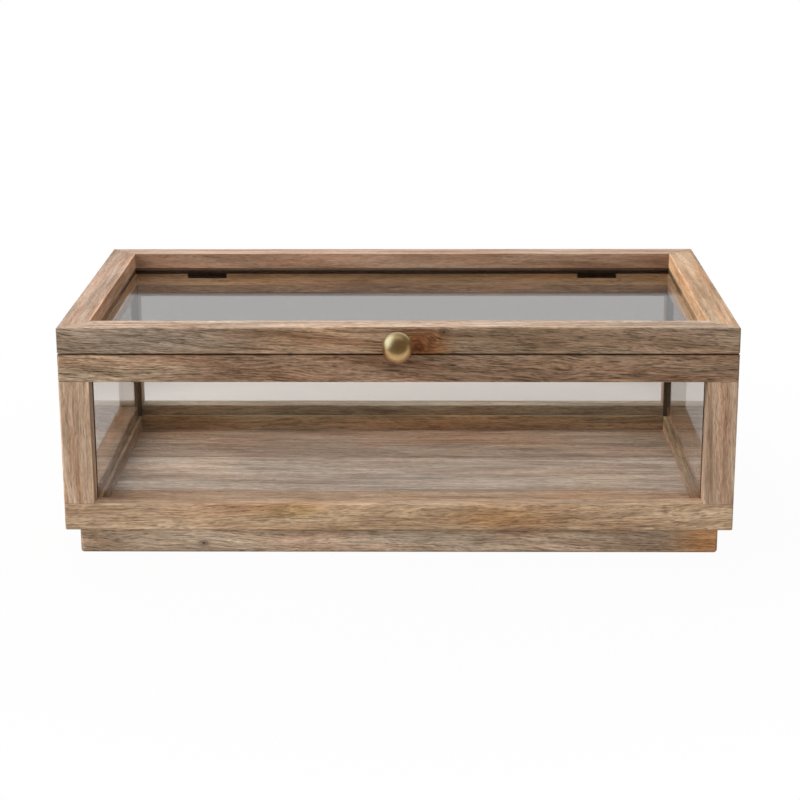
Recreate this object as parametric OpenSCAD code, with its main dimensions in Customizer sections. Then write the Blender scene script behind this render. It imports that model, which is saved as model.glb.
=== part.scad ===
// Tabletop display case: a glazed wooden box on a recessed base board, under a glazed lid on two hinges.
// Millimetres, +Z up. The origin is the middle of the base board's underside, and the front faces -Y.

/* [Case] */
// width of the case and the lid
case_w = 400; // [320:5:600]
// depth of the case and the lid, without the knob and the hinge knuckles
case_d = 230; // [170:5:400]
// width of the case's square-cut wood, seen from above
stock_w = 18; // [17:0.2:22]
// height of the bottom and top rails
rail_h = 16.5; // [15:0.5:20]
// height of the posts between the rails
window_h = 75.6; // [50:0.2:160]
// chamfer along the outer edges of the case and the lid
edge_ease = 0.8; // [0.4:0.1:1.6]

/* [Base] */
// thickness of the base board, which is the floor of the case
base_t = 17; // [10:1:25]
// step from the case's outer face back to the base board's edge
base_inset = 7.5; // [3:0.5:10]
// chamfer along the lower and upright edges of the base board
base_ease = 1.4; // [0.4:0.1:2.5]

/* [Glazing] */
// width of the wooden lip in front of the panes
lip_w = 12.6; // [11:0.2:13.4]
// thickness of the case's panes
pane_t = 3; // [2:0.5:4]
// height of the wood under the panes
sill_h = 5; // [4:0.5:6.5]
// height of the wood above the panes
head_h = 7.7; // [6.5:0.1:9]
// height of the level glazing beads
bead_h = 5; // [3:0.5:6]
// free space at a pane's edge
pane_play = 0.6; // [0.3:0.1:0.9]

/* [Lid] */
// height of the lid's frame
lid_h = 15.5; // [14.5:0.5:20]
// width of the lid's mitred rails
lid_rail_w = 17.6; // [16.4:0.2:20]
// open seam between the case and the lid
seam = 0.9; // [0.6:0.1:1.1]
// thickness of the lid's pane
lid_pane_t = 3; // [2:0.5:3.5]
// height of the wood under the lid's pane
lid_lip_h = 2.6; // [2:0.1:3]
// depth of the groove that holds the lid's pane
groove_d = 5; // [3.5:0.5:6]
// free height over the pane in its groove
groove_play = 0.2; // [0.1:0.1:0.4]

/* [Joinery] */
// side of the square tenons on the posts
post_tenon_w = 5; // [4:0.2:5]
// thickness of the tenons on the side rails
rail_tenon_w = 4.4; // [3.6:0.2:4.8]
// height of the tenons on the side rails
rail_tenon_h = 9; // [7:0.5:10]
// length of every tenon
tenon_l = 7; // [5:0.5:7.5]
// free space around a tenon in its mortise
tenon_play = 0.1; // [0.05:0.05:0.2]

/* [Hinges] */
// distance of each hinge's middle from the case's side
hinge_inset = 66.5; // [40:0.5:90]
// length of a hinge along its pin
hinge_l = 26; // [24:1:34]
// diameter of the knuckles
knuckle_d = 3.8; // [3.6:0.1:4.2]
// thickness of the leaves
leaf_t = 1.2; // [1:0.1:1.3]
// diameter of the hinge pin
pin_d = 2; // [1.6:0.1:2.2]
// radial clearance of the pin
pin_play = 0.05; // [0.03:0.01:0.08]
// diameter of the pin's heads
pin_head_d = 3.2; // [2.6:0.1:3.4]
// thickness of the pin's heads
pin_head_t = 0.8; // [0.5:0.1:1.2]
// free space between neighbouring knuckles, and between a leaf and its neighbour's knuckle
knuckle_play = 0.3; // [0.2:0.05:0.4]
// distance of the leaves' ends from the inner face of the case
leaf_setback = 0.4; // [0.2:0.1:1]
// free space at the ends of a hinge in its notch
notch_play = 0.4; // [0.3:0.1:1]
// distance between the two screws of a leaf
screw_pitch = 15; // [12:0.5:18]
// diameter of a screw's countersunk head
screw_head_d = 4.2; // [3.6:0.1:4.6]
// diameter of a screw's shank
screw_d = 2.2; // [1.8:0.1:2.6]
// length of a screw's shank below its head
screw_l = 7; // [5:0.5:8]
// length of each arm of the cross recess in a screw's head
cross_l = 2.4; // [1.6:0.1:2.6]
// width of the arms of the cross recess
cross_w = 0.7; // [0.5:0.1:0.9]
// depth of the cross recess
cross_h = 0.7; // [0.4:0.1:0.9]
// radial clearance around a screw or stud
screw_play = 0.05; // [0.03:0.01:0.1]

/* [Knob] */
// diameter of the ball
knob_d = 18; // [14:0.5:24]
// length of the neck between the lid and the ball
neck_l = 2.6; // [1.5:0.1:5]
// diameter of the neck
neck_d = 9; // [7:0.5:11]
// height of the knob's axis above the lid's lower face
knob_h = 6.5; // [6:0.1:7.5]
// diameter of the knob's stud
stud_d = 4; // [3:0.5:4.5]
// depth of the stud in the lid's front rail
stud_depth = 11; // [8:0.5:11.5]
// depth of the stud in the knob
stud_hold = 9; // [6:0.5:9]

/* [Hidden] */
$fn = 48;
cut = 1;
half_w = case_w / 2;
half_d = case_d / 2;
inner_w = half_w - stock_w;
inner_d = half_d - stock_w;
bead_w = stock_w - lip_w - pane_t;
lip_mid = lip_w / 2;
sill_z = base_t + rail_h;
head_z = sill_z + window_h;
case_top = head_z + rail_h;
lid_z = case_top + seam;
lid_top = lid_z + lid_h;
shelf_z = base_t + sill_h;
ceiling_z = case_top - head_h;
pane_h = ceiling_z - pane_play - shelf_z;
lid_pane_z = lid_z + lid_lip_h;
pin_y = half_d + knuckle_d / 2;
pin_z = lid_z - knuckle_d / 2;
notch_z = lid_z - knuckle_d;
leaf_y = inner_d + leaf_setback;
hinge_x = half_w - hinge_inset;
hinge_centres = [-hinge_x, hinge_x];
leaf_screw_xs = [-screw_pitch / 2, screw_pitch / 2];
screw_head_h = (screw_head_d - screw_d) / 2;
knuckle_l = hinge_l / 3;
knob_z = lid_z + knob_h;
wood = [0.72, 0.59, 0.46];
glass = [0.85, 0.9, 0.9, 0.3];
bronze = [0.13, 0.11, 0.1];
steel = [0.6, 0.6, 0.6];
brass = [0.78, 0.65, 0.36];

// A box given by its low and high corners.
module block(low, high) {
    translate(low) cube(high - low);
}

// A rectangle on the origin with its four corners cut off at 45 degrees.
module eased_rectangle(a, b, c) {
    polygon([[c - a, -b], [a - c, -b], [a, c - b], [a, b - c],
        [a - c, b], [c - a, b], [-a, b - c], [-a, c - b]]);
}

// A box around the vertical axis with every edge chamfered by c.
module eased_box(a, b, z0, z1, c) {
    middle = (z0 + z1) / 2;
    half_h = (z1 - z0) / 2;
    intersection() {
        translate([0, 0, z0]) linear_extrude(z1 - z0)
            eased_rectangle(a, b, c);
        translate([0, b, middle]) rotate([90, 0, 0]) linear_extrude(2 * b)
            eased_rectangle(a, half_h, c);
        translate([-a, 0, middle]) rotate([90, 0, 90]) linear_extrude(2 * a)
            eased_rectangle(b, half_h, c);
    }
}

// The outer forms of the case and the lid run past the seam, where the edges stay sharp.
module case_form() {
    eased_box(half_w, half_d, base_t, case_top + edge_ease, edge_ease);
}

module lid_form() {
    eased_box(half_w, half_d, lid_z - edge_ease, lid_top, edge_ease);
}

// The space inside the lips where the panes and the beads sit, from the shelf to the ceiling.
module glazing_space() {
    block([lip_w - half_w, lip_w - half_d, shelf_z], [half_w - lip_w, half_d - lip_w, ceiling_z]);
}

// A square tenon at the outer corner of a post, grown by play where it cuts a mortise.
module post_tenon(sx, sy, z0, z1, play) {
    side = post_tenon_w / 2 + play;
    centre = [sx * (half_w - lip_mid), sy * (half_d - lip_mid), 0];
    translate(centre) block([-side, -side, z0], [side, side, z1]);
}

// The tenons at both ends of a side rail, grown by play where they cut mortises.
module rail_tenons(sx, z0, play) {
    half_t = rail_tenon_w / 2 + play;
    half_h = rail_tenon_h / 2 + play;
    end = inner_d + tenon_l + play;
    translate([sx * (half_w - lip_mid), 0, z0 + rail_h / 2])
        block([-half_t, -end, -half_h], [half_t, end, half_h]);
}

// A long rail runs the full width at the front or the back, with mortises for the posts and the side rails.
module long_rail(sy, z0) {
    y_low = sy > 0 ? inner_d : -half_d;
    reach = tenon_l + tenon_play;
    mortise = z0 > sill_z ? [z0 - cut, z0 + reach] : [sill_z - reach, sill_z + cut];
    difference() {
        intersection() {
            block([-half_w, y_low, z0], [half_w, y_low + stock_w, z0 + rail_h]);
            case_form();
        }
        glazing_space();
        for (sx = [-1, 1]) {
            post_tenon(sx, sy, mortise[0], mortise[1], tenon_play);
            rail_tenons(sx, z0, tenon_play);
        }
    }
}

// A side rail fits between the long rails and enters them with its tenons.
module side_rail(sx, z0) {
    x_low = sx > 0 ? inner_w : -half_w;
    difference() {
        intersection() {
            block([x_low, -inner_d, z0], [x_low + stock_w, inner_d, z0 + rail_h]);
            case_form();
        }
        glazing_space();
    }
    rail_tenons(sx, z0, 0);
}

// A post is square wood with a notch for the panes on its inner edge and a tenon at each end.
module post(sx, sy) {
    x_low = sx > 0 ? inner_w : -half_w;
    y_low = sy > 0 ? inner_d : -half_d;
    difference() {
        intersection() {
            block([x_low, y_low, sill_z], [x_low + stock_w, y_low + stock_w, head_z]);
            case_form();
        }
        glazing_space();
    }
    post_tenon(sx, sy, sill_z - tenon_l, sill_z, 0);
    post_tenon(sx, sy, head_z, head_z + tenon_l, 0);
}

// The front and back panes run from post to post, and the side panes fit between them.
module long_pane(sy) {
    side = half_w - lip_w - pane_play;
    y_low = sy > 0 ? half_d - lip_w - pane_t : lip_w - half_d;
    block([-side, y_low, shelf_z], [side, y_low + pane_t, shelf_z + pane_h]);
}

module side_pane(sx) {
    side = half_d - lip_w - pane_t - pane_play;
    x_low = sx > 0 ? half_w - lip_w - pane_t : lip_w - half_w;
    block([x_low, -side, shelf_z], [x_low + pane_t, side, shelf_z + pane_h]);
}

// Level beads run between the corner beads, on the shelf and under the ceiling.
module long_bead(sy, z0) {
    y_low = sy > 0 ? inner_d : -inner_d - bead_w;
    block([-inner_w, y_low, z0], [inner_w, y_low + bead_w, z0 + bead_h]);
}

module side_bead(sx, z0) {
    x_low = sx > 0 ? inner_w : -inner_w - bead_w;
    block([x_low, -inner_d, z0], [x_low + bead_w, inner_d, z0 + bead_h]);
}

module corner_bead(sx, sy) {
    x_low = sx > 0 ? inner_w : -inner_w - bead_w;
    y_low = sy > 0 ? inner_d : -inner_d - bead_w;
    block([x_low, y_low, shelf_z], [x_low + bead_w, y_low + bead_w, ceiling_z]);
}

// The slot that holds the lid's pane on all four sides.
module lid_groove() {
    side_x = half_w - lid_rail_w + groove_d;
    side_y = half_d - lid_rail_w + groove_d;
    block([-side_x, -side_y, lid_pane_z], [side_x, side_y, lid_pane_z + lid_pane_t + groove_play]);
}

// One side of the lid's frame between two mitres, turned from the front to its own side.
module lid_rail(turn, run, reach) {
    inner = reach - lid_rail_w;
    difference() {
        intersection() {
            lid_form();
            translate([0, 0, lid_z]) rotate([0, 0, turn]) linear_extrude(lid_h)
                polygon([[-run, -reach], [run, -reach],
                    [run - lid_rail_w, -inner], [lid_rail_w - run, -inner]]);
        }
        lid_groove();
    }
}

// A round bar along X on the hinge axis.
module axis_bar(x0, x1, d) {
    translate([x0, pin_y, pin_z]) rotate([0, 90, 0]) cylinder(h = x1 - x0, d = d);
}

// The form of a countersunk screw that points down, grown by play.
module screw_form(play) {
    shank = screw_d + 2 * play;
    head = screw_head_d + 2 * play;
    translate([0, 0, -screw_head_h]) cylinder(h = screw_head_h, d1 = shank, d2 = head);
    translate([0, 0, -screw_head_h - screw_l - play]) cylinder(h = screw_l + screw_head_h, d = shank);
}

// The cross recess in a screw's head.
module screw_cross() {
    for (turn = [0, 90]) rotate([0, 0, turn])
        block([-cross_l / 2, -cross_w / 2, -cross_h], [cross_l / 2, cross_w / 2, cut]);
}

// A screw without play has its recess, and one with play cuts a hole that is open at its mouth.
module screw(play) {
    if (play > 0) {
        screw_form(play);
        cylinder(h = cut, d = screw_head_d + 2 * play);
    } else difference() {
        screw_form(0);
        screw_cross();
    }
}

// The screws of one hinge's case leaf point down, and those of its lid leaf point up.
module case_screws(x, play) {
    for (dx = leaf_screw_xs)
        translate([x + dx, half_d - lip_mid, notch_z + leaf_t]) screw(play);
}

module lid_screws(x, play) {
    for (dx = leaf_screw_xs)
        translate([x + dx, half_d - lip_mid, lid_z - leaf_t]) mirror([0, 0, 1]) screw(play);
}

// A leaf is a plate from the inner face of the case to the knuckles that are given by their ends along X.
module leaf(x, z0, knuckles) {
    half_l = hinge_l / 2;
    difference() {
        union() {
            block([x - half_l, leaf_y, z0], [x + half_l, half_d - knuckle_play, z0 + leaf_t]);
            for (k = knuckles) {
                block([x + k[0], leaf_y, z0], [x + k[1], pin_y, z0 + leaf_t]);
                axis_bar(x + k[0], x + k[1], knuckle_d);
            }
        }
        axis_bar(x - hinge_l, x + hinge_l, pin_d + 2 * pin_play);
    }
}

// The case leaf has the two outer knuckles.
module case_leaf(x) {
    half_l = hinge_l / 2;
    inner = knuckle_l / 2 + knuckle_play;
    difference() {
        leaf(x, notch_z, [[-half_l, -inner], [inner, half_l]]);
        case_screws(x, screw_play);
    }
}

// The lid leaf has the middle knuckle.
module lid_leaf(x) {
    difference() {
        leaf(x, lid_z - leaf_t, [[-knuckle_l / 2, knuckle_l / 2]]);
        lid_screws(x, screw_play);
    }
}

// The pin has a flat head at each end of the knuckles.
module pin(x) {
    half_l = hinge_l / 2;
    axis_bar(x - half_l, x + half_l, pin_d);
    axis_bar(x - half_l - pin_head_t, x - half_l, pin_head_d);
    axis_bar(x + half_l, x + half_l + pin_head_t, pin_head_d);
}

// The knob's stud, from inside the ball into the lid's front rail, grown by play where it cuts a hole.
module stud(play) {
    translate([0, stud_depth - half_d, knob_z]) rotate([90, 0, 0])
        cylinder(h = stud_depth + stud_hold, d = stud_d + 2 * play);
}

// The notch in the top back rail that takes a folded hinge.
module hinge_notch(x) {
    side = hinge_l / 2 + notch_play;
    block([x - side, inner_d - cut, notch_z], [x + side, half_d + cut, case_top + cut]);
}

// The lid's pane lies on the groove's lower face with free space at its edges.
module lid_glass() {
    side_x = half_w - lid_rail_w + groove_d - pane_play;
    side_y = half_d - lid_rail_w + groove_d - pane_play;
    block([-side_x, -side_y, lid_pane_z], [side_x, side_y, lid_pane_z + lid_pane_t]);
}

// The ball on its neck.
module knob_form() {
    translate([0, -half_d - neck_l - knob_d / 2, knob_z]) sphere(d = knob_d);
    translate([0, -half_d, knob_z]) rotate([90, 0, 0]) cylinder(h = neck_l + knob_d / 2, d = neck_d);
}

module base_board() {
    side_x = half_w - base_inset;
    side_y = half_d - base_inset;
    color(wood) intersection() {
        eased_box(side_x, side_y, 0, base_t + base_ease, base_ease);
        block([-side_x, -side_y, 0], [side_x, side_y, base_t]);
    }
}

module bottom_front_rail() {
    color(wood) long_rail(-1, base_t);
}

module bottom_back_rail() {
    color(wood) long_rail(1, base_t);
}

module bottom_left_rail() {
    color(wood) side_rail(-1, base_t);
}

module bottom_right_rail() {
    color(wood) side_rail(1, base_t);
}

module post_front_left() {
    color(wood) post(-1, -1);
}

module post_front_right() {
    color(wood) post(1, -1);
}

module post_back_left() {
    color(wood) post(-1, 1);
}

module post_back_right() {
    color(wood) post(1, 1);
}

module top_front_rail() {
    color(wood) long_rail(-1, head_z);
}

module top_back_rail() {
    color(wood) difference() {
        long_rail(1, head_z);
        for (x = hinge_centres) {
            hinge_notch(x);
            case_screws(x, screw_play);
        }
    }
}

module top_left_rail() {
    color(wood) side_rail(-1, head_z);
}

module top_right_rail() {
    color(wood) side_rail(1, head_z);
}

module front_pane() {
    color(glass) long_pane(-1);
}

module back_pane() {
    color(glass) long_pane(1);
}

module left_pane() {
    color(glass) side_pane(-1);
}

module right_pane() {
    color(glass) side_pane(1);
}

module bead_bottom_front() {
    color(wood) long_bead(-1, shelf_z);
}

module bead_bottom_back() {
    color(wood) long_bead(1, shelf_z);
}

module bead_bottom_left() {
    color(wood) side_bead(-1, shelf_z);
}

module bead_bottom_right() {
    color(wood) side_bead(1, shelf_z);
}

module bead_top_front() {
    color(wood) long_bead(-1, ceiling_z - bead_h);
}

module bead_top_back() {
    color(wood) long_bead(1, ceiling_z - bead_h);
}

module bead_top_left() {
    color(wood) side_bead(-1, ceiling_z - bead_h);
}

module bead_top_right() {
    color(wood) side_bead(1, ceiling_z - bead_h);
}

module bead_corner_front_left() {
    color(wood) corner_bead(-1, -1);
}

module bead_corner_front_right() {
    color(wood) corner_bead(1, -1);
}

module bead_corner_back_left() {
    color(wood) corner_bead(-1, 1);
}

module bead_corner_back_right() {
    color(wood) corner_bead(1, 1);
}

module lid_front_rail() {
    color(wood) difference() {
        lid_rail(0, half_w, half_d);
        stud(screw_play);
    }
}

module lid_back_rail() {
    color(wood) difference() {
        lid_rail(180, half_w, half_d);
        for (x = hinge_centres) lid_screws(x, screw_play);
    }
}

module lid_left_rail() {
    color(wood) lid_rail(270, half_d, half_w);
}

module lid_right_rail() {
    color(wood) lid_rail(90, half_d, half_w);
}

module lid_pane() {
    color(glass) lid_glass();
}

module hinge_left_case_leaf() {
    color(bronze) case_leaf(-hinge_x);
}

module hinge_right_case_leaf() {
    color(bronze) case_leaf(hinge_x);
}

module hinge_left_lid_leaf() {
    color(bronze) lid_leaf(-hinge_x);
}

module hinge_right_lid_leaf() {
    color(bronze) lid_leaf(hinge_x);
}

module hinge_left_pin() {
    color(steel) pin(-hinge_x);
}

module hinge_right_pin() {
    color(steel) pin(hinge_x);
}

module hinge_case_screws() {
    color(steel) for (x = hinge_centres) case_screws(x, 0);
}

module hinge_lid_screws() {
    color(steel) for (x = hinge_centres) lid_screws(x, 0);
}

module knob() {
    color(brass) difference() {
        knob_form();
        stud(screw_play);
    }
}

module knob_stud() {
    color(steel) stud(0);
}

base_board();
bottom_front_rail();
bottom_back_rail();
bottom_left_rail();
bottom_right_rail();
post_front_left();
post_front_right();
post_back_left();
post_back_right();
top_front_rail();
top_back_rail();
top_left_rail();
top_right_rail();
front_pane();
back_pane();
left_pane();
right_pane();
bead_bottom_front();
bead_bottom_back();
bead_bottom_left();
bead_bottom_right();
bead_top_front();
bead_top_back();
bead_top_left();
bead_top_right();
bead_corner_front_left();
bead_corner_front_right();
bead_corner_back_left();
bead_corner_back_right();
lid_front_rail();
lid_back_rail();
lid_left_rail();
lid_right_rail();
lid_pane();
hinge_left_case_leaf();
hinge_right_case_leaf();
hinge_left_lid_leaf();
hinge_right_lid_leaf();
hinge_left_pin();
hinge_right_pin();
hinge_case_screws();
hinge_lid_screws();
knob();
knob_stud();
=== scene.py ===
# Finishes, studio and camera for a tabletop display case of oiled wood, glass and satin brass
import math

import bpy
from mathutils import Euler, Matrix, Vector


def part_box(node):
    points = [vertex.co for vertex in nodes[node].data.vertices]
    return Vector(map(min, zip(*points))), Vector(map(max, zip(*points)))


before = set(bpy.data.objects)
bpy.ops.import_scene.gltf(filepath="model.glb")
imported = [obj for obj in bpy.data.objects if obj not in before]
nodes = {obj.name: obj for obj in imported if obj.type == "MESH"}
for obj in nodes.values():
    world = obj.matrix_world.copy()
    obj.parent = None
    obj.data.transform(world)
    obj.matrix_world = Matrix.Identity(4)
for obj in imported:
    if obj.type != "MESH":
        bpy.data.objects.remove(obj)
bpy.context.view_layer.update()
mm = 0.001
print("frame:", len(nodes), "nodes")


# small tools for shader trees

def put(tree, kind, values=None, **settings):
    # one node; a value that is a socket is linked, any other is set on the input
    made = tree.nodes.new("ShaderNode" + kind)
    for key, value in settings.items():
        setattr(made, key, value)
    for key, value in (values or {}).items():
        if isinstance(value, bpy.types.NodeSocket):
            tree.links.new(value, made.inputs[key])
        else:
            made.inputs[key].default_value = value
    return made


def sums(tree, how, a, b=0.0, c=0.0):
    return put(tree, "Math", {0: a, 1: b, 2: c}, operation=how).outputs[0]


def arrows(tree, how, a, b=(0, 0, 0)):
    return put(tree, "VectorMath", {0: a, 1: b}, operation=how).outputs[0]


def scaled(tree, vector, factor):
    return put(tree, "VectorMath", {0: vector, "Scale": factor}, operation="SCALE").outputs[0]


def blendColours(tree, factor, a, b, how="MIX"):
    made = put(tree, "Mix", {0: factor, 6: a, 7: b}, data_type="RGBA", blend_type=how)
    return made.outputs[2]


def fade(tree, value, low, high, first=0.0, last=1.0):
    # a smooth step from first at low to last at high
    made = put(tree, "MapRange", {0: value, 1: low, 2: high, 3: first, 4: last})
    made.interpolation_type = "SMOOTHSTEP"
    return made.outputs[0]


def ramp(tree, factor, stops):
    made = put(tree, "ValToRGB", {0: factor})
    band = made.color_ramp
    while len(band.elements) < len(stops):
        band.elements.new(0.5)
    for element, (at, colour) in zip(band.elements, stops):
        element.position = at
        element.color = colour
    return made.outputs[0]


def tone(red, green, blue):
    # a screen colour from 0 to 255 as the linear colour that a shader takes
    def linear(v):
        v = v / 255
        return v / 12.92 if v <= 0.04045 else ((v + 0.055) / 1.055) ** 2.4
    return (linear(red), linear(green), linear(blue), 1.0)


def grey(v):
    return (v, v, v, 1.0)


def newFinish(name):
    finish = bpy.data.materials.new(name)
    finish.use_nodes = True
    finish.node_tree.nodes.clear()
    return finish, finish.node_tree


def dress(piece, finish):
    for slot in piece.material_slots:
        slot.material = finish


def shaded(tree, colour, tint, weight=1.0):
    # the colour times a tint, as far as the weight says
    return blendColours(tree, weight, colour, tint, "MULTIPLY")


edgeLook = dict(weld=1e-6, sharpFrom=25)


def easeEdges(piece, width, segments=3):
    # the CAD mesh is loose triangles, so its points are welded before the edges are rounded
    weld = piece.modifiers.new("weld", "WELD")
    weld.merge_threshold = edgeLook["weld"]
    bevel = piece.modifiers.new("ease", "BEVEL")
    bevel.width = width * mm
    bevel.segments = segments
    bevel.limit_method = "ANGLE"
    bevel.angle_limit = math.radians(edgeLook["sharpFrom"])
    bevel.harden_normals = True


# wood: every board is cut from its own place in one procedural log

woodLook = dict(
    # how far the grain wanders and curls, and over what length, in millimetres
    waves=[dict(along=120, across=50, amount=9.0, turn=0.0),
           dict(along=24, across=9, amount=1.8, turn=3.1),
           dict(along=7, across=3, amount=0.35, turn=6.4)],
    # patterns in millimetres along and across the grain, each from another part of the log
    zone=dict(along=130, across=10, second=18, turn=7.7),
    band=dict(along=60, across=2.6, second=4.4, turn=1.9),
    streak=dict(along=17, across=0.6, second=0.75, turn=5.3, rough=0.6),
    fibre=dict(along=4.5, across=0.4, turn=8.1, rough=0.6),
    hue=dict(along=90, across=9, turn=9.4),
    cluster=dict(along=35, across=3.5, turn=2.6, detail=1),
    vessel=dict(along=6.0, across=0.95, turn=4.2),
    ring=dict(along=6, across=2.4, turn=8.8, detail=3),
    # colours from dark to light
    tones=[(0.34, tone(143, 115, 92)), (0.50, tone(177, 149, 125)), (0.65, tone(200, 172, 148))],
    hues=[(0.36, (0.97, 1.0, 1.02, 1)), (0.5, grey(1.0)), (0.64, (1.05, 0.96, 0.92, 1))],
    dashes=[(0.31, (0.34, 0.30, 0.26, 1)), (0.5, grey(1.0)), (0.68, grey(1.40))],
    threads=[(0.32, grey(0.70)), (0.5, grey(1.0)), (0.68, grey(1.22))],
    threadShare=dict(least=0.4, gain=0.6),
    # open pores, which stand in clusters
    pore=tone(72, 52, 38), poreShare=dict(least=0.12, gain=0.3),
    poreEdge=dict(low=0.18, high=0.36, first=1.0, last=0.0),
    poreCrowd=dict(low=0.36, high=0.58, first=0.25, last=1.0),
    # patches fade and knots have rings in units of their own size; glued strips are metres apart in the log
    patchEdge=dict(low=0.2, high=1.3, first=1.0, last=0.0),
    ringCount=9.0, ringWobble=12.0, stripShift=(0.37, 0.11, 0.05),
    # skins in millimetres: glued joints, rubbed arrises, the front face, where a board's front tint paints
    # shade and light, and the cut ends
    joint=dict(low=0.1, high=0.5, most=0.45), arris=dict(low=0.3, high=1.4),
    face=dict(low=0.5, high=1.2), ends=dict(low=0.1, high=0.9, most=0.35),
    rubbed=grey(1.25), rubbedBands=dict(low=0.35, high=0.6, first=0.0, last=0.35),
    # surface
    streakRough=dict(low=0.3, high=0.7, first=0.66, last=0.52), poreRough=0.22,
    fibreRelief=0.4, poreRelief=0.8, bump=0.9, poreDepth=0.25, shine=0.2)


def woodFinish(name, board):
    finish, tree = newFinish(name + "_wood")
    look = woodLook
    axis = "xyz".index(board["grain"])
    crosswise = [0.0 if i == axis else 1.0 for i in range(3)]
    lowCorner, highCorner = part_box(name)
    place = put(tree, "TexCoord").outputs["Object"]
    spot = put(tree, "SeparateXYZ", {0: place}).outputs

    def cut(coord, along, across, second=None, turn=0.0):
        # the place in the log, in units of a pattern that is so many millimetres long and wide
        sides = [across, second or across]
        lengths = sides[:axis] + [along] + sides[axis:]
        return put(tree, "Mapping", {0: coord, "Location": [v + turn for v in board["cut"]],
                                     "Scale": [1 / (v * mm) for v in lengths]}).outputs[0]

    def noise(coord, along, across, second=None, turn=0.0, detail=2.0, rough=0.5):
        at = cut(coord, along, across, second, turn)
        return put(tree, "TexNoise", {"Vector": at, "Scale": 1.0, "Detail": detail,
                                      "Roughness": rough}).outputs

    def sway(coord, along, across, amount, turn):
        # a noise that moves the place across the grain, by about so many millimetres
        push = noise(coord, along, across, turn=turn, detail=1)["Color"]
        push = arrows(tree, "SUBTRACT", push, (0.5, 0.5, 0.5))
        return arrows(tree, "MULTIPLY", push, [v * amount * mm for v in crosswise])

    def away(coord, middle, size):
        # distance from a middle, in units of a size
        scale = [1 / (v * mm) for v in size]
        shift = [-v * mm * s for v, s in zip(middle, scale)]
        at = put(tree, "Mapping", {0: coord, "Location": shift, "Scale": scale}).outputs[0]
        return put(tree, "VectorMath", {0: at}, operation="LENGTH").outputs["Value"]

    def skin(distance, low, high, most=1.0):
        # most up to low millimetres, nothing from high millimetres on
        return fade(tree, distance, low * mm, high * mm, most, 0.0)

    # a board glued from strips: each strip is cut from another part of the log
    source = place
    strip = None
    if board["joints"]:
        steps = [sums(tree, "GREATER_THAN", spot[1], y * mm) for y in board["joints"]]
        strip = steps[0]
        for step in steps[1:]:
            strip = sums(tree, "ADD", strip, step)
        source = arrows(tree, "ADD", place, scaled(tree, look["stripShift"], strip))

    # the grain wanders, leans and curls before any pattern reads it
    loose = source
    for wave in look["waves"]:
        loose = arrows(tree, "ADD", loose, sway(source, **wave))
    lean = list(board["lean"])
    lean.insert(axis, 0.0)
    bent = arrows(tree, "ADD", loose, scaled(tree, lean, spot[axis]))

    # at a knot the pattern swells, so the grain runs round it
    swells = []
    for knot in board["knots"]:
        far = away(place, knot["at"], knot["size"])
        square = sums(tree, "POWER", far, 2.0)
        swell = sums(tree, "EXPONENT", sums(tree, "MULTIPLY", square, -1.0))
        swells.append((knot, far, swell))
        pull = arrows(tree, "SUBTRACT", place, [v * mm for v in knot["at"]])
        pull = scaled(tree, pull, sums(tree, "MULTIPLY", swell, knot["pull"]))
        bent = arrows(tree, "SUBTRACT", bent, arrows(tree, "MULTIPLY", pull, crosswise))

    # growth zones and bands, dense short streaks, fibres and open pores
    zone = noise(bent, **look["zone"])["Fac"]
    band = noise(bent, **look["band"])["Fac"]
    streak = noise(bent, **look["streak"])["Fac"]
    fibre = noise(bent, **look["fibre"])["Fac"]
    hue = noise(bent, **look["hue"])["Fac"]
    cluster = noise(bent, **look["cluster"])["Fac"]
    vessel = put(tree, "TexVoronoi", {"Vector": cut(bent, **look["vessel"]), "Scale": 1.0})
    pores = sums(tree, "MULTIPLY", fade(tree, vessel.outputs["Distance"], **look["poreEdge"]),
                 fade(tree, cluster, **look["poreCrowd"]))

    def share(least, gain):
        # a pattern's weight on a board of more or less figure
        return least + gain * board["figure"]

    # the mean of zones and bands gives the tone, and the finer patterns shade it
    mean = sums(tree, "MULTIPLY", sums(tree, "ADD", zone, band), 0.5)
    colour = ramp(tree, mean, look["tones"])
    colour = shaded(tree, colour, ramp(tree, hue, look["hues"]))
    colour = shaded(tree, colour, ramp(tree, streak, look["dashes"]), board["figure"])
    colour = shaded(tree, colour, ramp(tree, fibre, look["threads"]), share(**look["threadShare"]))
    opened = sums(tree, "MULTIPLY", pores, share(**look["poreShare"]))
    colour = blendColours(tree, opened, colour, look["pore"])
    colour = shaded(tree, colour, board["tint"])

    for patch in board["patches"]:
        coord = place if strip is not None or patch["face"] else loose
        far = away(coord, patch["at"], patch["size"])
        colour = shaded(tree, colour, patch["tint"], fade(tree, far, **look["patchEdge"]))

    for knot, far, swell in swells:
        wobble = sums(tree, "MULTIPLY", noise(bent, **look["ring"])["Fac"], look["ringWobble"])
        rings = sums(tree, "SINE", sums(tree, "MULTIPLY_ADD", far, look["ringCount"], wobble))
        strength = sums(tree, "MULTIPLY_ADD", rings, knot["rings"], knot["strength"])
        colour = blendColours(tree, sums(tree, "MULTIPLY", swell, strength), colour, knot["colour"])

    if strip is not None:
        step = 1 / (len(board["strips"]) + 1)
        stops = [(step * (i + 1), (*stripTint, 1)) for i, stripTint in enumerate(board["strips"])]
        colour = shaded(tree, colour, ramp(tree, sums(tree, "MULTIPLY_ADD", strip, step, step), stops))
        for y in board["joints"]:
            near = sums(tree, "ABSOLUTE", sums(tree, "SUBTRACT", spot[1], y * mm))
            colour = blendColours(tree, skin(near, **look["joint"]), colour, look["pore"])
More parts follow.
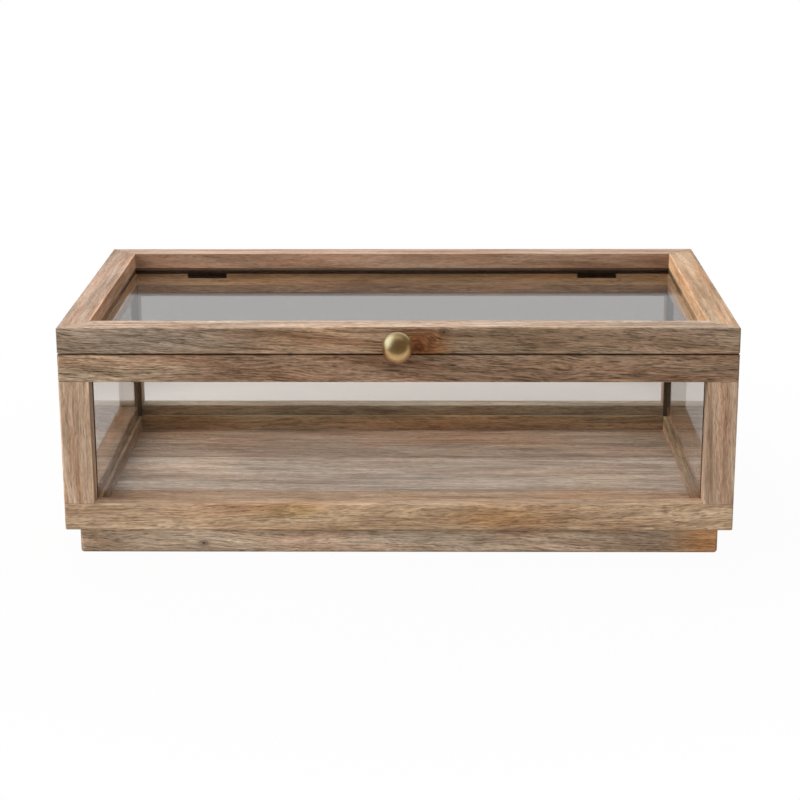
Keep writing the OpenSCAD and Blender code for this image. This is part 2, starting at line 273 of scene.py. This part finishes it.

    # the arrises are rubbed paler, the face toward the front takes the board's front tint of painted shade
    # and light, the cut ends are darker
    gap = arrows(tree, "MINIMUM", arrows(tree, "SUBTRACT", place, lowCorner),
                 arrows(tree, "SUBTRACT", highCorner, place))
    gaps = put(tree, "SeparateXYZ", {0: gap}).outputs
    pairs = [sums(tree, "MAXIMUM", gaps[i], gaps[j]) for i, j in ((0, 1), (1, 2), (0, 2))]
    edge = sums(tree, "MINIMUM", sums(tree, "MINIMUM", pairs[0], pairs[1]), pairs[2])
    worn = sums(tree, "MULTIPLY", skin(edge, **look["arris"]), fade(tree, band, **look["rubbedBands"]))
    colour = shaded(tree, colour, look["rubbed"], worn)
    behindFront = sums(tree, "SUBTRACT", spot[1], lowCorner[1])
    colour = shaded(tree, colour, board["front"], skin(behindFront, **look["face"]))
    colour = blendColours(tree, skin(gaps[axis], **look["ends"]), colour, look["pore"])

    rough = sums(tree, "MULTIPLY_ADD", pores, look["poreRough"], fade(tree, streak, **look["streakRough"]))
    height = sums(tree, "MULTIPLY_ADD", fibre, look["fibreRelief"], streak)
    height = sums(tree, "SUBTRACT", height, sums(tree, "MULTIPLY", pores, look["poreRelief"]))
    bump = put(tree, "Bump", {"Height": height, "Strength": look["bump"],
                              "Distance": look["poreDepth"] * mm})
    shader = put(tree, "BsdfPrincipled", {"Base Color": colour, "Roughness": rough,
                                          "Normal": bump.outputs[0],
                                          "Specular IOR Level": look["shine"]})
    put(tree, "OutputMaterial", {"Surface": shader.outputs[0]})
    return finish


def stain(at, size, tint):
    # a soft patch of another colour that wanders with the grain
    return dict(at=at, size=size, tint=(*tint, 1), face=False)


def facePatch(at, size, tint):
    # a patch that keeps to one face of a board; most of them are painted shade and painted light on that
    # face
    return dict(at=at, size=size, tint=(*tint, 1), face=True)


def branchKnot(at, size, colour, strength, pull=0.75, rings=0.18):
    return dict(at=at, size=size, colour=colour, strength=strength, pull=pull, rings=rings)


def sawn(grain, cut, tint, front=(1, 1, 1), lean=(0, 0), figure=1.0, edge=0.4,
         knots=(), patches=(), joints=(), strips=()):
    # a board: its grain's axis, place in the log and tints, and its rounded arrises in millimetres; the
    # front tint is painted shade and light on the face toward the front
    return dict(grain=grain, cut=cut, tint=(*tint, 1), front=(*front, 1), lean=lean, figure=figure,
                edge=edge, knots=knots, patches=patches, joints=joints, strips=strips)


# places and sizes are in millimetres from the middle of the base board's underside
backShade = [facePatch((-158, 99, 24), (48, 6, 14), (0.66, 0.56, 0.46)),
             facePatch((20, 99, 22), (70, 6, 14), (1.06, 0.94, 0.84)),
             facePatch((135, 99, 24), (50, 6, 14), (1.14, 1.16, 1.2))]
# board tints are partly each board's own tone and partly painted light and shade on the fronts: the base
# board, posts and bottom front rail are lighter, the top front rail darker
boards = {
    # the base board's light tint is partly painted light on the plinth front, which stands in the shade of
    # the case above
    "base_board": sawn("x", (2.1, 7.3, 1.2), (1.36, 1.49, 1.57), lean=(0.02, 0.04), figure=0.72, edge=1.0,
        # the glued strips differ in tone; the back strip's darker tint is partly painted shade from the
        # back rails
        joints=(-39, 33), strips=((1.0, 0.985, 0.965), (1.0, 1.05, 1.12), (0.75, 0.72, 0.71)),
        knots=[branchKnot((-117.8, -107.5, 6.1), (3.2, 3, 1.9), tone(70, 56, 44), 0.8)],
        patches=[stain((187, -107, 8), (24, 12, 16), (1.25, 0.91, 0.60)),
                 stain((0, -107, 8), (60, 12, 16), (0.92, 0.95, 0.97)),
                 # painted shade over the floor inside the case and along the plinth front's top edge
                 facePatch((0, 0, 17), (900, 900, 1), (0.76, 0.755, 0.75)),
                 # darker and lighter patches on the floor, partly painted shade toward the back and in the
                 # back-left corner
                 facePatch((0, -72, 17), (900, 40, 1), (0.975, 0.88, 0.80)),
                 facePatch((-158, 88, 17), (40, 16, 3), (0.86, 0.77, 0.70)),
                 facePatch((-22, 56, 17), (14, 11, 3), (0.96, 0.85, 0.82)),
                 facePatch((40, 82, 17), (80, 24, 3), (1.0, 0.90, 0.81)),
                 facePatch((80, 61, 17), (34, 8, 3), (1.14, 1.09, 1.0)),
                 facePatch((170, 72, 17), (26, 32, 3), (0.85, 0.83, 0.79)),
                 facePatch((-160, -48, 17), (30, 46, 3), (0.86, 0.86, 0.85)),
                 facePatch((125, -38, 17), (44, 56, 3), (1.09, 1.06, 1.0)),
                 facePatch((-134, 10, 17), (44, 28, 3), (1.12, 1.09, 1.06)),
                 facePatch((-14, -18, 17), (60, 18, 3), (0.93, 0.95, 0.97))]),
    "bottom_front_rail": sawn("x", (9.2, 4.4, 6.1), (1.22, 1.19, 1.07), lean=(0.0, -0.02), figure=0.72,
        knots=[branchKnot((20, -115, 28), (34, 8, 7), tone(160, 130, 100), 0.1, pull=0.5)],
        patches=[stain((-65, -115, 31), (26, 5, 6), (0.94, 0.90, 0.72)),
                 stain((61, -115, 27), (34, 9, 8), (0.90, 0.85, 0.70)),
                 stain((-160, -115, 26), (60, 9, 14), (1.04, 1.08, 1.13)),
                 # painted shade on the front sill's top face
                 facePatch((0, -108.7, 33.5), (900, 9, 1), (0.90, 0.92, 0.98))]),
    # bottom back rail: painted shade on its face toward the front, inside the case
    "bottom_back_rail": sawn("x", (5.7, 1.9, 3.3), (1.08, 1.03, 0.96), front=(0.68, 0.62, 0.53),
        figure=0.6,
        # painted shade and light patches along the inside, painted shade on the lip's inner face behind the
        # pane, and the lip's top face tinted greyer and bluer
        patches=[*backShade, facePatch((0, 102.4, 28), (900, 2, 9), (0.64, 0.71, 0.69)),
                 facePatch((0, 110, 33.5), (900, 12, 1), (0.78, 1.0, 1.17))]),
    "bottom_left_rail": sawn("y", (3.9, 8.1, 2.5), (1.05, 1.0, 0.95), figure=0.7,
        # painted shade on the rail's inside faces
        patches=[facePatch((-184, 0, 28), (8, 900, 14), (0.82, 0.8, 0.78))]),
    "bottom_right_rail": sawn("y", (6.6, 2.8, 9.7), (1.1, 1.04, 0.98), figure=0.7,
        # painted shade on the rail's inside faces
        patches=[facePatch((184, 0, 28), (8, 900, 14), (0.84, 0.82, 0.8))]),
    "post_front_left": sawn("z", (1.4, 6.2, 3.8), (1.19, 1.18, 1.17), lean=(0.03, 0.02), figure=0.42),
    "post_front_right": sawn("z", (8.3, 1.1, 5.5), (1.13, 1.12, 1.10), lean=(0.05, 0.0), figure=0.45),
    # painted shade on the back post's face toward the front and on its inner corner
    "post_back_left": sawn("z", (4.8, 9.5, 7.2), (1.1, 1.07, 1.04), front=(0.45, 0.43, 0.40),
        figure=0.6,
        patches=[facePatch((-187, 102.4, 71), (5, 4, 120), (0.3, 0.26, 0.22))]),
    # painted shade on the back post's face toward the front and on its inner corner
    "post_back_right": sawn("z", (7.1, 3.6, 0.9), (1.06, 1.02, 0.98), front=(0.46, 0.44, 0.42),
        figure=0.6,
        patches=[facePatch((187, 102.4, 71), (5, 4, 120), (0.3, 0.26, 0.22))]),
    # the top front rail's dark tint is partly painted shade
    "top_front_rail": sawn("x", (0.6, 5.8, 8.6), (0.68, 0.625, 0.57), lean=(0.0, 0.05),
        knots=[branchKnot((92, -115, 117.8), (10, 8, 7), tone(118, 92, 64), 0.3),
               branchKnot((-40, -115, 118), (30, 8, 9), tone(120, 90, 68), 0.1, pull=0.6)],
        patches=[stain((-178, -115, 118), (60, 10, 16), (1.42, 1.62, 1.71)),
                 stain((160, -115, 118), (60, 10, 16), (0.86, 0.87, 0.86)),
                 # painted shade in the seam under the lid, on the rail's top face and top edge
                 facePatch((0, -108, 125.6), (900, 14, 0.7), (0.4, 0.35, 0.3))]),
    # painted light on the top back rail's face toward the front
    "top_back_rail": sawn("x", (3.2, 2.2, 4.7), (0.98, 0.93, 0.88), front=(1.36, 1.24, 1.02),
        figure=0.4,
        # painted shade by the seam along its top edge, and painted light on the lip's inner face behind the
        # pane
        patches=[facePatch((0, 97, 126), (900, 3, 3.6), (0.6, 0.55, 0.5)),
                 facePatch((0, 102.4, 111), (900, 2, 6), (1.6, 1.55, 1.5))]),
    "top_left_rail": sawn("y", (9.9, 0.4, 6.8), (0.95, 0.91, 0.87), figure=0.6,
        # painted light on the rail's inner face
        patches=[facePatch((-182, 0, 121.5), (2.5, 900, 12), (1.7, 1.55, 1.2))]),
    "top_right_rail": sawn("y", (2.7, 5.1, 1.6), (1.0, 0.95, 0.9), figure=0.6,
        # painted light on the rail's inner face
        patches=[facePatch((182, 0, 121.5), (2.5, 900, 12), (1.55, 1.45, 1.2))]),
    # the lid front rail's tint is partly painted light on its top, and its front tint is painted shade on
    # the front face
    "lid_front_rail": sawn("x", (7.8, 9.0, 2.3), (1.165, 1.25, 1.35), front=(0.667, 0.606, 0.527),
        lean=(0.0, 0.07), figure=0.88,
        knots=[branchKnot((12.5, -115, 130.5), (8, 4, 7), tone(116, 60, 30), 0.6, rings=0.35),
               branchKnot((20, -115, 135), (6, 4, 5), tone(112, 66, 40), 0.4, rings=0.35),
               branchKnot((27, -115, 139.5), (3.2, 3, 2.2), tone(66, 52, 40), 0.7)],
        patches=[stain((-160, -115, 134), (80, 3, 14), (1.05, 1.19, 1.37)),
                 stain((-45, -115, 134), (60, 3, 14), (1.13, 1.06, 0.98)),
                 stain((75, -115, 134), (60, 3, 14), (0.72, 0.71, 0.67)),
                 stain((160, -115, 134), (60, 3, 14), (0.84, 0.90, 0.95)),
                 stain((15, -115, 131), (20, 3, 14), (0.88, 0.55, 0.28)),
                 stain((30, -106, 142), (14, 10, 3), (1.03, 0.93, 0.9))]),
    # painted shade on the lid back rail's face toward the front
    "lid_back_rail": sawn("x", (1.8, 3.7, 9.1), (1.015, 1.02, 1.09), front=(0.818, 0.734, 0.641),
        figure=0.35,
        # near-black painted shade at the bottom of its inner face, over the gap to the case
        patches=[facePatch((0, 97.4, 127), (900, 4, 2.3), (0.10, 0.08, 0.06))]),
    "lid_left_rail": sawn("y", (5.2, 6.9, 0.7), (0.87, 0.88, 0.92), figure=0.26,
        # near-black painted shade at the bottom of the inner face by the seam, and painted light on the
        # inner face above it
        patches=[facePatch((-182.4, 0, 127), (4, 900, 2.3), (0.25, 0.2, 0.16)),
                 facePatch((-182.4, 0, 136), (2, 900, 9), (1.7, 1.48, 1.25))]),
    "lid_right_rail": sawn("y", (8.8, 7.7, 4.1), (1.12, 1.06, 0.94), figure=0.3,
        # near-black painted shade at the bottom of the inner face by the seam, and painted light on the
        # inner face above it
        patches=[facePatch((182.4, 0, 127), (4, 900, 2.3), (0.25, 0.2, 0.16)),
                 facePatch((182.4, 0, 136), (2, 900, 9), (1.54, 1.46, 1.33))]),
}

# the bottom beads are darker and the top beads lighter as painted shade and painted light on one wood; the
# corner beads' near-black is painted shade
beadLook = dict(bottom=(0.665, 0.63, 0.505), top=(1.0, 0.84, 0.66), corner=(0.07, 0.055, 0.04),
                figure=0.6, edge=0.25)
for level, start in (("bottom", 6), ("top", 3)):
    for number, side in enumerate(("front", "back", "left", "right")):
        boards["bead_" + level + "_" + side] = sawn(
            "x" if side in ("front", "back") else "y",
            (2.3 * number + start, 1.7 * number, 4.9 - number),
            beadLook[level], figure=beadLook["figure"], edge=beadLook["edge"],
            patches=backShade if (level, side) == ("bottom", "back") else ())
for number, corner in enumerate(("front_left", "front_right", "back_left", "back_right")):
    boards["bead_corner_" + corner] = sawn(
        "z", (3.3 * number, 7.9 - number, 1.1 * number), beadLook["corner"], edge=beadLook["edge"])

for name, plank in boards.items():
    dress(nodes[name], woodFinish(name, plank))
    easeEdges(nodes[name], plank["edge"])
print("wood:", len(boards), "boards")


# glass: clear float panes that let lamps through to the inside, and a greyer one in the lid

glassLook = dict(
    bend=1.5, passing=grey(0.92), edge=0.2, segments=2,
    smears={"Scale": 35.0, "Detail": 4.0, "Roughness": 0.6},
    smeared=dict(low=0.45, high=0.8, first=0.0, last=0.03))
paneColours = dict(clear=(0.965, 0.95, 0.94, 1), lid=(0.756, 0.768, 0.771, 1))
# the lid mirrors as float glass does toward the front and little beside its back rail
lidMirror = dict(gloss=grey(0.97), depth=dict(low=0.008, high=0.026, first=1.2, last=0.12))


def clearPane(tree, rough):
    return put(tree, "BsdfPrincipled", {"Base Color": paneColours["clear"], "Roughness": rough,
                                        "IOR": glassLook["bend"], "Transmission Weight": 1.0})


def lidPane(tree, rough):
    place = put(tree, "TexCoord").outputs["Object"]
    depth = put(tree, "SeparateXYZ", {0: place}).outputs[1]
    outside = sums(tree, "SUBTRACT", 1.0, put(tree, "NewGeometry").outputs["Backfacing"])
    shine = put(tree, "Fresnel", {"IOR": glassLook["bend"]}).outputs[0]
    shine = sums(tree, "MULTIPLY", shine, outside)
    shine = sums(tree, "MULTIPLY", shine, fade(tree, depth, **lidMirror["depth"]))
    gloss = put(tree, "BsdfGlossy", {"Color": lidMirror["gloss"], "Roughness": rough})
    through = put(tree, "BsdfRefraction", {"Color": paneColours["lid"], "Roughness": rough,
                                           "IOR": glassLook["bend"]})
    return put(tree, "MixShader", {0: shine, 1: through.outputs[0], 2: gloss.outputs[0]})


def glassFinish(kind, makePane):
    finish, tree = newFinish(kind + "_glass")
    place = put(tree, "TexCoord").outputs["Object"]
    smears = put(tree, "TexNoise", {"Vector": place, **glassLook["smears"]}).outputs["Fac"]
    pane = makePane(tree, fade(tree, smears, **glassLook["smeared"]))
    # light on its way to matt wood goes straight through
    clear = put(tree, "BsdfTransparent", {"Color": glassLook["passing"]})
    path = put(tree, "LightPath").outputs
    passing = sums(tree, "MAXIMUM", path["Is Shadow Ray"], path["Is Diffuse Ray"])
    both = put(tree, "MixShader", {0: passing, 1: pane.outputs[0], 2: clear.outputs[0]})
    put(tree, "OutputMaterial", {"Surface": both.outputs[0]})
    return finish


clearGlass = glassFinish("clear", clearPane)
lidGlass = glassFinish("lid", lidPane)
panes = dict(front_pane=clearGlass, back_pane=clearGlass, left_pane=clearGlass,
             right_pane=clearGlass, lid_pane=lidGlass)
for name, finish in panes.items():
    dress(nodes[name], finish)
    easeEdges(nodes[name], glassLook["edge"], glassLook["segments"])
print("glass:", len(panes), "panes")


# metals

metalLook = dict(
    bronze=dict(base=tone(34, 30, 28), worn=tone(64, 56, 48), rough=0.5),
    steel=dict(base=tone(170, 168, 164), worn=tone(205, 203, 198), rough=0.34),
    brass=dict(base=tone(215, 180, 126), worn=tone(229, 196, 144), rough=0.34))
metalGrain = dict(
    clouds={"Scale": 160.0, "Detail": 4.0, "Roughness": 0.6}, wornFrom=0.35, wornTo=0.75,
    cloudRough=dict(low=0.3, high=0.7, first=-0.05, last=0.06),
    brushed={"Scale": 2600.0, "Detail": 2.0}, turned={"Scale": 5200.0, "Detail": 2.0},
    fineRough=0.10, bump=0.12, depth=0.02)


def metalFinish(kind, turnedAt=None):
    look = metalLook[kind]
    finish, tree = newFinish(kind)
    place = put(tree, "TexCoord").outputs["Object"]
    cloud = put(tree, "TexNoise", {"Vector": place, **metalGrain["clouds"]}).outputs["Fac"]
    if turnedAt:
        # fine rings from the lathe round the knob's axis
        middle = arrows(tree, "SUBTRACT", place, turnedAt)
        flat = arrows(tree, "MULTIPLY", middle, (1, 0, 1))
        radius = put(tree, "VectorMath", {0: flat}, operation="LENGTH").outputs["Value"]
        depth = put(tree, "SeparateXYZ", {0: middle}).outputs[1]
        ring = put(tree, "CombineXYZ", {0: radius, 1: depth}).outputs[0]
        fine = put(tree, "TexNoise", {"Vector": ring, **metalGrain["turned"]}).outputs["Fac"]
    else:
        fine = put(tree, "TexNoise", {"Vector": place, **metalGrain["brushed"]}).outputs["Fac"]
    colour = ramp(tree, cloud, [(metalGrain["wornFrom"], look["base"]),
                                (metalGrain["wornTo"], look["worn"])])
    rough = sums(tree, "ADD", fade(tree, cloud, **metalGrain["cloudRough"]), look["rough"])
    rough = sums(tree, "MULTIPLY_ADD", sums(tree, "SUBTRACT", fine, 0.5), metalGrain["fineRough"], rough)
    bump = put(tree, "Bump", {"Height": fine, "Strength": metalGrain["bump"],
                              "Distance": metalGrain["depth"] * mm})
    shader = put(tree, "BsdfPrincipled", {"Base Color": colour, "Roughness": rough, "Metallic": 1.0,
                                          "Normal": bump.outputs[0]})
    put(tree, "OutputMaterial", {"Surface": shader.outputs[0]})
    return finish


knobLow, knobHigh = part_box("knob")
knobMiddle = (0.0, knobLow[1], (knobLow[2] + knobHigh[2]) / 2)
finishes = dict(bronze=metalFinish("bronze"), steel=metalFinish("steel"),
                brass=metalFinish("brass", knobMiddle))
metalPieces = dict(
    bronze=["hinge_left_case_leaf", "hinge_right_case_leaf",
            "hinge_left_lid_leaf", "hinge_right_lid_leaf"],
    steel=["hinge_left_pin", "hinge_right_pin", "hinge_case_screws", "hinge_lid_screws", "knob_stud"],
    brass=["knob"])
for kind, names in metalPieces.items():
    for name in names:
        dress(nodes[name], finishes[kind])
print("metal:", sum(len(names) for names in metalPieces.values()), "pieces")


# studio: a pale table, a surround that lights the front, a lamp at the left and one above and behind
# places and distances are in metres

darkRoom = (0.14, 0.115, 0.075, 1)
tableLook = dict(
    half=7.0, colour=(0.54, 0.515, 0.49, 1), far=0.92,
    shadow=dict(low=0.22, high=0.5, first=0.965, last=1.0),
    inGlass=dict(low=0.2, high=0.7, first=0.08, last=0.36),
    sheen=dict(low=-0.13, high=-0.11, first=0.35, last=0.0),
    beyond=dict(low=0.30, high=0.40),
    ending=dict(low=-0.36, high=-0.20, first=1.0, last=0.0))


def makeTable():
    look = tableLook
    half = look["half"]
    mesh = bpy.data.meshes.new("table")
    corners = [(-half, -half, 0), (half, -half, 0), (half, half, 0), (-half, half, 0)]
    mesh.from_pydata(corners, [], [(0, 1, 2, 3)])
    table = bpy.data.objects.new("table", mesh)
    bpy.context.scene.collection.objects.link(table)
    finish, tree = newFinish("pale_table")
    path = put(tree, "LightPath").outputs
    place = put(tree, "TexCoord").outputs["Object"]
    radius = put(tree, "VectorMath", {0: place}, operation="LENGTH").outputs["Value"]
    ahead = put(tree, "SeparateXYZ", {0: place}).outputs[1]
    mirrored = sums(tree, "GREATER_THAN", path["Glossy Depth"], 0.5)
    # white for the camera, with a faint shadow round the case; glass and metal show it as a light grey
    seen = sums(tree, "MULTIPLY", path["Is Camera Ray"], fade(tree, radius, **look["shadow"]))
    glassy = sums(tree, "MAXIMUM", path["Is Glossy Ray"], path["Is Transmission Ray"])
    share = sums(tree, "MULTIPLY_ADD", glassy, fade(tree, radius, **look["inGlass"]), seen)
    share = sums(tree, "MULTIPLY_ADD", mirrored, fade(tree, ahead, **look["sheen"]), share)
    matt = put(tree, "BsdfDiffuse", {"Color": look["colour"]})
    white = put(tree, "Emission", {"Color": grey(1.0), "Strength": 1.0})
    lit = put(tree, "MixShader", {0: share, 1: matt.outputs[0], 2: white.outputs[0]})
    # through glass the table is greyer away from the case
    dim = put(tree, "Emission", {"Color": look["colour"], "Strength": look["far"]})
    beyond = sums(tree, "MULTIPLY", path["Is Transmission Ray"], fade(tree, radius, **look["beyond"]))
    lit = put(tree, "MixShader", {0: beyond, 1: lit.outputs[0], 2: dim.outputs[0]})
    # in front the table ends before a dark room, which the knob and the front pane mirror
    dark = put(tree, "Emission", {"Color": darkRoom, "Strength": 1.0})
    ending = sums(tree, "MULTIPLY", mirrored, fade(tree, ahead, **look["ending"]))
    both = put(tree, "MixShader", {0: ending, 1: lit.outputs[0], 2: dark.outputs[0]})
    put(tree, "OutputMaterial", {"Surface": both.outputs[0]})
    mesh.materials.append(finish)


dimWall = (0.15, 0.14, 0.12, 1)
surroundLook = dict(
    ambient=(0.98, 0.99, 1.0, 1), level=dict(low=-0.9, high=0.9, first=0.9, last=0.1),
    # the mirrored room from the floor up
    room=[(0.0, grey(1.0)), (0.05, grey(1.0)), (0.15, dimWall), (0.55, dimWall), (0.8, grey(0.2)),
          (1.0, grey(0.6))],
    darkFront=dict(low=-0.3, high=0.1, first=1.0, last=0.0),
    window=dict(toward=(-0.879, 0.31, 0.362), edge=dict(low=0.57, high=0.9), colour=(1.25, 1.65, 2.1, 1)),
    backdrop=grey(0.65), behind=dict(low=0.55, high=0.85))


def makeSurround():
    look = surroundLook
    world = bpy.data.worlds.new("surround")
    bpy.context.scene.world = world
    world.use_nodes = True
    tree = world.node_tree
    tree.nodes.clear()
    path = put(tree, "LightPath").outputs
    toward = put(tree, "TexCoord").outputs["Generated"]
    spot = put(tree, "SeparateXYZ", {0: toward}).outputs
    depth, rise = spot[1], spot[2]
    # matt surfaces are lit mostly from the front; straight on and through glass the backdrop is white
    level = fade(tree, depth, **look["level"])
    ambient = put(tree, "Background", {"Color": look["ambient"], "Strength": level})
    white = put(tree, "Background", {"Color": grey(1.0), "Strength": 1.0})
    direct = sums(tree, "MAXIMUM", path["Is Camera Ray"], path["Is Transmission Ray"])
    seen = put(tree, "MixShader", {0: direct, 1: ambient.outputs[0], 2: white.outputs[0]})
    # glass and metal mirror a dim room with a soft window at the left and a light grey backdrop
    room = ramp(tree, rise, look["room"])
    room = blendColours(tree, fade(tree, depth, **look["darkFront"]), room, darkRoom)
    window = look["window"]
    inLine = put(tree, "VectorMath", {0: toward, 1: window["toward"]}, operation="DOT_PRODUCT")
    inWindow = fade(tree, inLine.outputs["Value"], **window["edge"])
    room = blendColours(tree, inWindow, room, window["colour"])
    room = blendColours(tree, fade(tree, depth, **look["behind"]), room, look["backdrop"])
    shine = put(tree, "Background", {"Color": room, "Strength": 1.0})
    # a ray counts as mirrored after a gloss, but not once it left a matt surface
    least = sums(tree, "ADD", path["Is Diffuse Ray"], 0.5)
    mirrored = sums(tree, "GREATER_THAN", path["Glossy Depth"], least)
    mirrored = sums(tree, "MAXIMUM", path["Is Glossy Ray"], mirrored)
    both = put(tree, "MixShader", {0: mirrored, 1: seen.outputs[0], 2: shine.outputs[0]})
    put(tree, "OutputWorld", {"Surface": both.outputs[0]})


lampLook = dict(
    left=dict(at=(-1.45, -0.35, 0.95), width=1.2, height=1.0, power=22.0),
    above=dict(at=(-0.2, 0.9, 1.3), width=1.3, height=1.3, power=17.5))
lampAim = (0, 0, 0.08)


def makeLamp(name, at, width, height, power):
    data = bpy.data.lights.new(name, "AREA")
    data.shape = "RECTANGLE"
    data.size, data.size_y = width, height
    data.energy = power
    lamp = bpy.data.objects.new(name, data)
    bpy.context.scene.collection.objects.link(lamp)
    lamp.location = at
    lamp.rotation_euler = (Vector(lampAim) - Vector(at)).to_track_quat("-Z", "Y").to_euler()
    # the knob mirrors the room's window instead of the lamps
    lamp.visible_glossy = False


makeTable()
makeSurround()
for name, lamp in lampLook.items():
    makeLamp(name, **lamp)
bpy.context.scene.view_settings.view_transform = "Standard"
print("studio: table, surround and", len(lampLook), "lamps")


# camera at the photograph's place

cameraLook = dict(lens=91.26, sensor=36.0, nearest=0.01, at=(0.01626, -1.26374, 0.42286),
                  down=15.778, turn=0.748, roll=-0.179)


def makeCamera():
    look = cameraLook
    data = bpy.data.cameras.new("camera")
    data.sensor_width = look["sensor"]
    data.lens = look["lens"]
    data.clip_start = look["nearest"]
    camera = bpy.data.objects.new("camera", data)
    bpy.context.scene.collection.objects.link(camera)
    camera.location = look["at"]
    pitch = math.radians(90 - look["down"])
    straight = Euler((pitch, 0, math.radians(look["turn"])), "XYZ").to_matrix()
    rolled = Euler((0, 0, math.radians(look["roll"])), "XYZ").to_matrix()
    camera.rotation_euler = (straight @ rolled).to_euler()
    bpy.context.scene.camera = camera


makeCamera()
bpy.context.view_layer.update()
